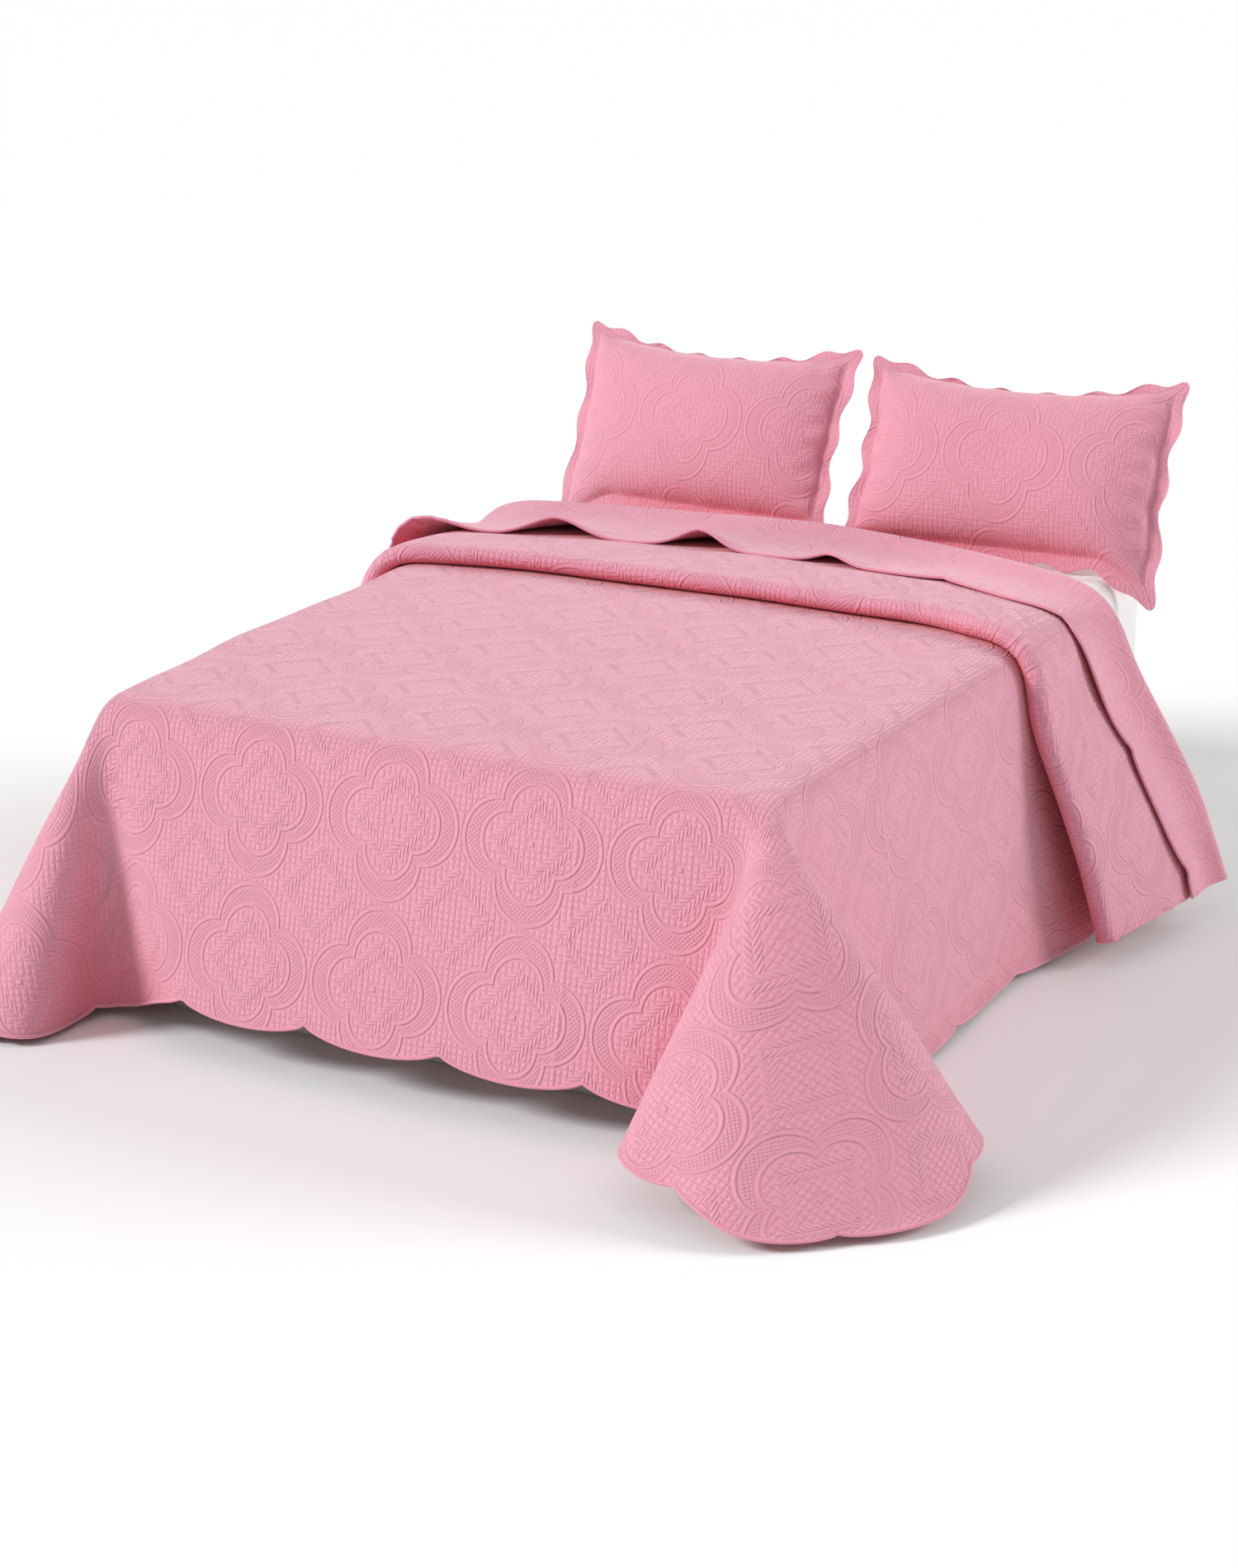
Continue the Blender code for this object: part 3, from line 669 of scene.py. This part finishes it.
def flatPlace(column, row):
    # flat cloth position from grid position: 1 is the bed's edge, 2 the hem, on either side
    sideSign = np.where(column < 0, -1.0, 1.0)
    out, beyond = np.maximum(np.abs(column) - 1.0, 0.0), np.maximum(-row, 0.0)
    inner = sideSign * np.minimum(np.abs(column), 1.0) * quilt["edgeAcross"]
    inward = np.maximum(row, 0.0) + quilt["footEdge"]
    turn = np.arctan2(out * quilt["sideDrop"], beyond * quilt["footDrop"])
    angle = np.where(beyond > 0, turn, pi / 2)
    angle = np.where((out <= 0) & (beyond > 0), 0.0, angle)
    reach = np.maximum(out, beyond) * hemReach(angle, sideSign, inner, inward)
    return inner + sideSign * reach * np.sin(angle), inward - reach * np.cos(angle)


rowCounts = {"foot": 46, "main": 88, "tucked": 6, "underBend": 4, "second": 6, "bend": 8,
             "band": 30, "flap": 16, "drop": 52, "top": 120}
counts = {name: max(3, int(count * detail)) for name, count in rowCounts.items()}


def headFolds(across):
    # the head end, back and forth: along and height of each row, by station across
    roll = easeTable(across, folds["across"], folds["roll"])
    far = easeTable(across, folds["across"], folds["far"])
    hem = easeTable(across, folds["across"], folds["hem"])
    under = (quilt["spare"] + 2 * roll - 2 * far + hem) / 2
    standOff = easeStep((across - quilt["standOffStart"]) / quilt["standOffRun"])
    underBend = quilt["underBend"] + quilt["standOff"] * standOff
    second = 2 * underBend
    third = second + 2 * quilt["roll"]
    low = third - quilt["bandSag"]
    fourth = low + 2 * quilt["farFold"]
    rows = []

    def straight(start, end, lowHeight, highHeight, count):
        for step in range(1, count + 1):
            t = step / count
            rows.append((start + (end - start) * t,
                         lowHeight + (highHeight - lowHeight) * easeStep(t)))

    def bend(centre, height, radius, way, count):
        for step in range(1, count + 1):
            turn = pi * step / count
            rows.append((centre + way * radius * sin(turn), height - radius * cos(turn)))

    onBed = np.zeros_like(across)
    straight(roll, under, onBed, onBed, counts["tucked"])
    bend(under, underBend, underBend, 1, counts["underBend"])
    straight(under, roll, second, second, counts["second"])
    bend(roll, second + quilt["roll"], quilt["roll"], -1, counts["bend"])
    straight(roll, far, third, low, counts["band"])
    bend(far, low + quilt["farFold"], quilt["farFold"], 1, counts["bend"])
    lifted = 0.0
    for lift in hemLifts:
        away = (across - lift["across"]) / lift["width"]
        lifted = lifted + lift["height"] * np.exp(-away ** 2)
    phase = (across - quilt["offset"][0]) / quilt["pitch"][0]
    cut = hem - quilt["scallop"] * lobe(phase)
    for step in range(1, counts["flap"] + 1):
        t = step / counts["flap"]
        sunk = quilt["flapSag"] * easeStep(t) + quilt["flapRest"] * sin(pi * t) * (1 - t)
        rows.append((far + (cut - far) * t, fourth - sunk + lifted * t ** 3))
    return rows


def quiltGrid():
    drop = np.linspace(1, 2, counts["drop"] + 1)
    top = np.linspace(-1, 1, counts["top"] + 1)
    columns = np.concatenate([-drop[::-1], top[1:-1], drop])
    onBed = np.zeros_like(columns)
    lines = [flatPlace(columns, onBed + row) for row in np.linspace(-1, 0, counts["foot"] + 1)]
    roll = easeTable(lines[-1][0], folds["across"], folds["roll"])
    for t in np.linspace(0, 1, counts["main"] + 1)[1:]:
        inward = (roll - quilt["footEdge"]) * t
        lines.append((flatPlace(columns, inward)[0], quilt["footEdge"] + inward))
    heights = [onBed for _ in lines]
    measured = [along for _, along in lines]
    for along, height in headFolds(lines[-1][0]):
        step = np.hypot(along - lines[-1][1], height - heights[-1])
        measured.append(measured[-1] + step)
        lines.append((flatPlace(columns, measured[-1] - quilt["footEdge"])[0], along))
        heights.append(height)
    across = np.array([line[0] for line in lines])
    place, normal = drapeFrame(across, np.array([line[1] for line in lines]))
    middle = place + normal * np.array(heights)[..., None]
    return middle, across, np.array(measured)


def cushioned(flat):
    # each medallion is a low cushion
    u = (flat[..., 0] - quilt["offset"][0]) / quilt["pitch"][0]
    v = (flat[..., 1] - quilt["offset"][1]) / quilt["pitch"][1]
    return quilt["cushion"] * (np.cos(pi * u) * np.cos(pi * v)) ** 2


hemTape = {"halfWidth": 0.0042, "halfHeight": 0.0036, "weave": 0.0003}

quiltFace = quiltedCotton("quiltFace", quilt["pitch"], quilt["offset"], cotton["relief"],
                          cotton["faceCrinkle"], cotton["creases"])
quiltReverse = quiltedCotton("quiltReverse", quilt["pitch"], quilt["offset"],
                             cotton["reverseRelief"], cotton["crinkle"])
bindingCotton = wovenCotton("bindingCotton", cotton["pink"], cotton["seamShadeAndDyePink"],
                            cottonYarn["thread"], hemTape["weave"], cotton["roughness"])

middle, across, measured = quiltGrid()
normals = unit(np.cross(np.gradient(middle, axis=1), np.gradient(middle, axis=0)))
flat = np.stack([across, measured], axis=-1)
half = quilt["thickness"] / 2
face = middle + normals * (half + cushioned(flat))[..., None]
back = middle - normals * half
quiltPiece = closedSheet("quiltCloth", face, back, flat, [quiltFace, quiltReverse])
rim = rimOf(*middle.shape[:2])
rimPath, rimNormal = middle.reshape(-1, 3)[rim], normals.reshape(-1, 3)[rim]
cutEdge = flat.reshape(-1, 2)[rim]
binding = tubeAlong("hemBinding", rimPath, rimNormal, hemTape["halfWidth"],
                    hemTape["halfHeight"], cutEdge, bindingCotton)

# Pillow shams: a filled body inside a flat scalloped flange

sham = {
    "width": 0.78,
    "height": 0.470,
    "flange": 0.036,
    "flangeThickness": 0.006,
    "flangeWave": 0.0035,
    "flangeWaves": (17, 11),
    "flangeWaveFall": 20,
    "flangeRest": -0.9,        # the flange is plain below this share of the height
    "crown": 0.075,
    "crownFall": 0.55,
    "backCrown": 0.8,
    "fill": 2.6,               # higher is fuller towards the seams
    "fillShare": 0.6,
    "pullTop": 0.076,
    "pullBottom": 0.006,
    "pullSides": 0.030,
    "pullTaper": 2,
    "pullRise": 3,
    "cornerRadius": 0.055,
    "droop": 0.100,
    "droopStart": bed["width"] / 2 - bed["edge"],
    "droopRun": 0.20,
    "scallopsLong": 7,
    "scallopsShort": 4,
    "scallopDepth": 0.015,
    "scallopReach": 12,
    "cells": (170, 104),
    "pitch": stitch["pitch"],
    "relief": 0.0016,
}
wrinkles = {   # places in shares of half the sham, waves in radians for each of those
    "topAt": (0.80, 0.16),
    "topWaves": (34, 5),
    "topGroups": (0.4, 0.6, 5),
    "sideAt": (0.88, 0.09),
    "sideWaves": (26, -6),
    "dentWaves": ((3.1, 1.7), (-1.1, 2.3)),
    "pucker": 0.0040,
    "dent": 0.007,
}
shamPlaces = {
    "left_sham": {"name": "leftSham", "x": -0.415, "y": 0.947, "lean": 24.0, "yaw": -5.0,
                  "phase": 0.7},
    "right_sham": {"name": "rightSham", "x": 0.394, "y": 0.890, "lean": 25.0, "yaw": 2.0,
                   "phase": 2.9},
}


def shamWrinkles(u, v, phase):
    # short puckers along the seam and slow dents in the filling
    def near(value, middle, width):
        return np.exp(-((value - middle) / width) ** 2)

    def swing(waves, start):
        return np.sin(waves[0] * u + waves[1] * v + start)

    side = np.abs(u)
    least, more, groups = wrinkles["topGroups"]
    gathered = least + more * np.sin(groups * u + phase) ** 2
    pucker = swing(wrinkles["topWaves"], phase) * near(v, *wrinkles["topAt"]) * gathered
    sideWaves = wrinkles["sideWaves"]
    beside = np.sin(sideWaves[0] * v + sideWaves[1] * side + phase)
    pucker = pucker + beside * near(side, *wrinkles["sideAt"])
    dent = swing(wrinkles["dentWaves"][0], phase) * swing(wrinkles["dentWaves"][1], 2 * phase)
    return wrinkles["pucker"] * pucker + wrinkles["dent"] * dent


def roundCorners(x, z, halfWidth, halfHeight, radius):
    # each square corner of a grid becomes a quarter circle
    coreX = np.clip(x, radius - halfWidth, halfWidth - radius)
    coreZ = np.clip(z, radius - halfHeight, halfHeight - radius)
    outX, outZ = x - coreX, z - coreZ
    far = np.maximum(np.abs(outX), np.abs(outZ))
    scale = far / np.maximum(np.hypot(outX, outZ), 1e-9)
    return coreX + outX * scale, coreZ + outZ * scale


def shamSurfaces(phase):
    columns, rows = (int(cell * detail) for cell in sham["cells"])
    u, v = np.meshgrid(np.linspace(-1, 1, columns + 1), np.linspace(-1, 1, rows + 1))
    halfWidth, halfHeight = sham["width"] / 2, sham["height"] / 2
    bodyU, bodyV = 1 - sham["flange"] / halfWidth, 1 - sham["flange"] / halfHeight
    x, z = roundCorners(u * halfWidth, v * halfHeight, halfWidth, halfHeight, sham["cornerRadius"])
    u, v = x / halfWidth, z / halfHeight
    pull = np.where(v > 0, sham["pullTop"], sham["pullBottom"])
    side, end = np.abs(u), np.abs(v)
    taper, rise, reach = sham["pullTaper"], sham["pullRise"], sham["scallopReach"]
    pullAcross = 1 - sham["pullSides"] / halfWidth * (1 - end ** taper) * side ** rise
    pullUp = 1 - pull / halfHeight * (1 - side ** taper) * end ** rise
    lobesUp = np.cos(pi * sham["scallopsShort"] * (v + 1)) * side ** reach
    lobesAcross = np.cos(pi * sham["scallopsLong"] * (u + 1)) * end ** reach
    x = x * pullAcross + np.sign(u) * lobesUp * sham["scallopDepth"] / 2
    z = z * pullUp + np.sign(v) * lobesAcross * sham["scallopDepth"] / 2
    fillU = np.clip(1 - (side / bodyU) ** sham["fill"], 0, 1)
    fillV = np.clip(1 - (end / bodyV) ** sham["fill"], 0, 1)
    body = (fillU * fillV) ** sham["crownFall"]
    crown = sham["crown"] * body + shamWrinkles(u, v, phase) * np.sqrt(body)
    onFlange = (body <= 0) & (v > sham["flangeRest"])
    wavesU, wavesV = sham["flangeWaves"]
    wave = sham["flangeWave"] * np.sin(wavesU * u + phase) * np.sin(wavesV * v + 2 * phase)
    wave = np.where(onFlange, wave, 0.0) * np.maximum(side, end) ** sham["flangeWaveFall"]
    thin = sham["flangeThickness"] / 2
    front = np.stack([x, -thin - crown + wave, z], axis=-1)
    behind = np.stack([x, thin + crown * sham["backCrown"] + wave, z], axis=-1)
    flat = np.stack([u * halfWidth, v * halfHeight], axis=-1)
    return np.stack([front, behind]), flat


def seatSham(points, place):
    lean, yaw = radians(place["lean"]), radians(place["yaw"])
    x, y, z = points[..., 0], points[..., 1], points[..., 2]
    y, z = y * cos(lean) + z * sin(lean), z * cos(lean) - y * sin(lean)
    x, y = x * cos(yaw) - y * sin(yaw), x * sin(yaw) + y * cos(yaw)
    x, y = x + place["x"], y + place["y"]
    z = z - z.min() + bed["top"] + bed["gap"]
    past = easeStep((np.abs(x) - sham["droopStart"]) / sham["droopRun"])
    low = np.clip(1 - (z - bed["top"]) / sham["height"], 0, 1) ** 2
    return np.stack([x, y, z - sham["droop"] * past * low], axis=-1)


shamCotton = quiltedCotton("shamCotton", sham["pitch"], (0.0, 0.0), sham["relief"],
                           cotton["faceCrinkle"])
shamBack = quiltedCotton("shamBack", sham["pitch"], (0.0, 0.0), cotton["reverseRelief"],
                         cotton["crinkle"])
shamPieces = {}
for node, place in shamPlaces.items():
    surfaces, shamFlat = shamSurfaces(place["phase"])
    front, behind = seatSham(surfaces, place)
    shamPieces[node] = closedSheet(place["name"], front, behind, shamFlat, [shamCotton, shamBack])
    print(node, "built")

# Mattress in a fitted sheet

sheetLook = {
    "white": (0.88, 0.88, 0.87, 1.0),
    "shade": (0.78, 0.78, 0.77, 1.0),
    "thread": 1100.0,
    "weave": 0.0004,
    "roughness": 0.80,
    "gather": 0.004,           # where the elastic draws the cloth in, low on the sides
    "gatherHeight": 0.07,
    "gathers": 150,
    "gatherSway": (2, 17),
    "sag": 0.003,
    "sagWaves": (9, 4, 3),
    "sagFrom": 0.55,           # along the bed: only the head end's top shows
    "topDepth": 0.004,
    "cells": (96, 132, 26),
    "weld": 0.00005,
}


def blockGrids(nx, ny, nz):
    # the six sides of a block from -1 to 1, each a grid of its own
    points, faces = [], []

    def side(count1, count2, place, flip):
        s, t = np.meshgrid(np.linspace(-1, 1, count1 + 1), np.linspace(-1, 1, count2 + 1))
        start = sum(len(block) for block in points)
        points.append(place(s, t, np.ones(s.shape)).reshape(-1, 3))
        index = np.arange((count1 + 1) * (count2 + 1)).reshape(count2 + 1, count1 + 1) + start
        quad = [index[:-1, :-1], index[:-1, 1:], index[1:, 1:], index[1:, :-1]]
        quad = np.stack([part.ravel() for part in (quad[::-1] if flip else quad)], axis=-1)
        faces.append(quad)

    side(nx, ny, lambda s, t, one: np.stack([s, t, one], -1), False)
    side(nx, ny, lambda s, t, one: np.stack([s, t, -one], -1), True)
    side(nx, nz, lambda s, t, one: np.stack([s, -one, t], -1), False)
    side(nx, nz, lambda s, t, one: np.stack([s, one, t], -1), True)
    side(ny, nz, lambda s, t, one: np.stack([one, s, t], -1), False)
    side(ny, nz, lambda s, t, one: np.stack([-one, s, t], -1), True)
    return np.concatenate(points), np.concatenate(faces)


def roundBlock(box, width, length, tall):
    # rounds the corners seen from above, then the edges; gives outward and nearness to edges
    corner = bed["corner"]
    core = np.clip(box[:, :2], [-width + corner, -length + corner],
                   [width - corner, length - corner])
    away = box[:, :2] - core
    far = np.maximum(np.abs(away).max(axis=1), 1e-9)
    ring = away / np.maximum(np.linalg.norm(away, axis=1), 1e-9)[:, None] * far[:, None]
    box[:, :2] = core + ring
    depth = 1 - far / corner
    edge = np.where(box[:, 2] > 0, bed["edge"], bed["lowEdge"])
    inward, down = depth * corner, tall - np.abs(box[:, 2])
    nearSide, nearFace = np.clip(1 - inward / edge, 0, 1), np.clip(1 - down / edge, 0, 1)
    nearest = np.maximum(np.maximum(nearSide, nearFace), 1e-9)
    pull = nearest / np.maximum(np.hypot(nearSide, nearFace), 1e-9)
    shiftOut, shiftUp = (1 - nearSide * pull) * edge, (1 - nearFace * pull) * edge
    onEdge = (nearSide > 0) & (nearFace > 0)
    outward = ring / np.maximum(far, 1e-9)[:, None]
    box[:, :2] -= outward * np.where(onEdge, shiftOut - inward, 0.0)[:, None]
    box[:, 2] -= np.where(onEdge, np.sign(box[:, 2]) * (shiftUp - down), 0.0)
    return outward, nearSide, nearFace


def fittedSheet():
    # a rounded block, drawn inwards where elastic gathers the cloth and where it sags
    width, length = bed["width"] / 2, bed["length"] / 2
    low, high = bed["base"] + bed["gap"], bed["top"]
    tall = (high - low) / 2
    box, faces = blockGrids(*(int(cell * detail) for cell in sheetLook["cells"]))
    box = box * np.array((width, length, tall))
    outward, nearSide, nearFace = roundBlock(box, width, length, tall)
    height = box[:, 2] + tall
    around = np.arctan2(box[:, 1] / length, box[:, 0] / width)
    towardsHem = np.exp(-height / sheetLook["gatherHeight"])
    sway, turns = sheetLook["gatherSway"]
    gather = np.sin(around * sheetLook["gathers"] + sway * np.sin(around * turns))
    gather = sheetLook["gather"] * towardsHem * (0.5 + 0.5 * gather)
    wide, sway, long = sheetLook["sagWaves"]
    slack = np.sin(wide * box[:, 0] + sway * np.sin(long * box[:, 1]))
    slack = sheetLook["sag"] * (0.5 + 0.5 * slack)
    box[:, :2] -= outward * (gather + slack * (nearSide > 0) * (nearFace <= 0))[:, None]
    onTop = (box[:, 2] > tall - sheetLook["topDepth"]) & (box[:, 1] > sheetLook["sagFrom"])
    box[:, 2] -= np.where(onTop, slack, 0.0)
    box[:, 2] += (high + low) / 2
    piece = meshPiece("fittedSheet", box, faces)
    weld(piece, sheetLook["weld"])
    return piece


sheetCotton = wovenCotton("sheetCotton", sheetLook["white"], sheetLook["shade"],
                          sheetLook["thread"], sheetLook["weave"], sheetLook["roughness"])
mattressPiece = fittedSheet()
mattressPiece.data.materials.append(sheetCotton)
print("fitted sheet built")

# Bed base, with a sewn cord round its edges

base = {
    "grey": (0.62, 0.61, 0.60, 1.0),
    "shade": (0.50, 0.49, 0.48, 1.0),
    "thread": 620.0,
    "weave": 0.0008,
    "roughness": 0.85,
    "inset": 0.020,
    "cord": 0.004,
    "cordHeights": (0.030, 0.352),
    "cornerSteps": 16,
}
baseCloth = wovenCotton("baseCloth", base["grey"], base["shade"], base["thread"], base["weave"],
                        base["roughness"])
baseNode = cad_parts["bed_base"]
baseNode.data.materials.clear()
baseNode.data.materials.append(baseCloth)


def roundedLoop(width, length, corner, height, steps):
    points = []
    for cx, cy, start in ((1, 1, 0), (-1, 1, 90), (-1, -1, 180), (1, -1, 270)):
        for turn in np.linspace(start, start + 90, steps):
            angle = radians(turn)
            points.append((cx * (width - corner) + corner * cos(angle),
                           cy * (length - corner) + corner * sin(angle), height))
    return np.array(points)


trims = []
inset = base["inset"] - base["cord"] / 2
for letter, height in zip("AB", base["cordHeights"]):
    loop = roundedLoop(bed["width"] / 2 - inset, bed["length"] / 2 - inset, bed["corner"], height,
                       base["cornerSteps"])
    up = np.tile((0.0, 0.0, 1.0), (len(loop), 1))
    trims.append(tubeAlong("baseCord" + letter, loop, up, base["cord"], base["cord"],
                           loop[:, :2], baseCloth))
print("base built")

# Each piece rides on the root body, and the parts it stands for are hidden

for piece, slotName, nodes in (
        (quiltPiece, "pink_cotton", ["quilt"]), (binding, "pink_cotton", []),
        (shamPieces["left_sham"], "pink_cotton", ["left_sham"]),
        (shamPieces["right_sham"], "pink_cotton", ["right_sham"]),
        (mattressPiece, "white_sheet", ["mattress"]),
        (trims[0], "grey_base", []), (trims[1], "grey_base", [])):
    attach(piece, "root")
    if nodes:
        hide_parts(*nodes)

# Studio: pale floor, soft light, camera

studio = {
    "floor": (0.93, 0.93, 0.93, 1.0),
    "floorHalf": 60,
    "floorRoughness": 0.9,
    "world": (1.0, 1.0, 1.0, 1.0),
    "ambient": 0.44,
    "suns": (
        {"name": "keyLight", "from": (-1.0, -0.78, 0.80), "spread": 18.0, "power": 2.42},
        {"name": "fillLight", "from": (1.0, 0.72, 0.60), "spread": 24.0, "power": 1.70},
    ),
    "lens": 75.79,
    "sensor": 36.0,
    "sight": 100.0,
    "cameraAt": (3.115, -5.985, 2.42),
    "cameraTurn": (72.5, 0.0, 28.5),
}


def aimAt(item, target):
    way = np.array(target) - np.array(item.location)
    item.rotation_euler = (np.arctan2(np.hypot(way[0], way[1]), -way[2]), 0.0,
                           np.arctan2(-way[0], way[1]))


floorMesh = bpy.data.meshes.new("floor")
reach = studio["floorHalf"]
floorMesh.from_pydata([(-reach, -reach, 0), (reach, -reach, 0), (reach, reach, 0),
                       (-reach, reach, 0)], [], [(0, 1, 2, 3)])
floor = bpy.data.objects.new("floor", floorMesh)
bpy.context.scene.collection.objects.link(floor)
floorMesh.materials.append(startMaterial("floorPaint", studio["floor"],
                                         studio["floorRoughness"])[0])

world = bpy.data.worlds.new("studioWorld")
world.use_nodes = True
ambient = world.node_tree.nodes["Background"]
ambient.inputs[0].default_value = studio["world"]
ambient.inputs[1].default_value = studio["ambient"]
bpy.context.scene.world = world
for spec in studio["suns"]:
    data = bpy.data.lights.new(spec["name"], "SUN")
    data.energy = spec["power"]
    data.angle = radians(spec["spread"])
    lamp = bpy.data.objects.new(spec["name"], data)
    lamp.location = spec["from"]
    bpy.context.scene.collection.objects.link(lamp)
    aimAt(lamp, (0.0, 0.0, 0.0))
bpy.context.scene.view_settings.view_transform = "Standard"

cameraData = bpy.data.cameras.new("camera")
cameraData.lens = studio["lens"]
cameraData.sensor_width = studio["sensor"]
cameraData.clip_end = studio["sight"]
camera = bpy.data.objects.new("camera", cameraData)
camera.location = studio["cameraAt"]
camera.rotation_euler = [radians(turn) for turn in studio["cameraTurn"]]
bpy.context.scene.collection.objects.link(camera)
bpy.context.scene.camera = camera
print("studio set")
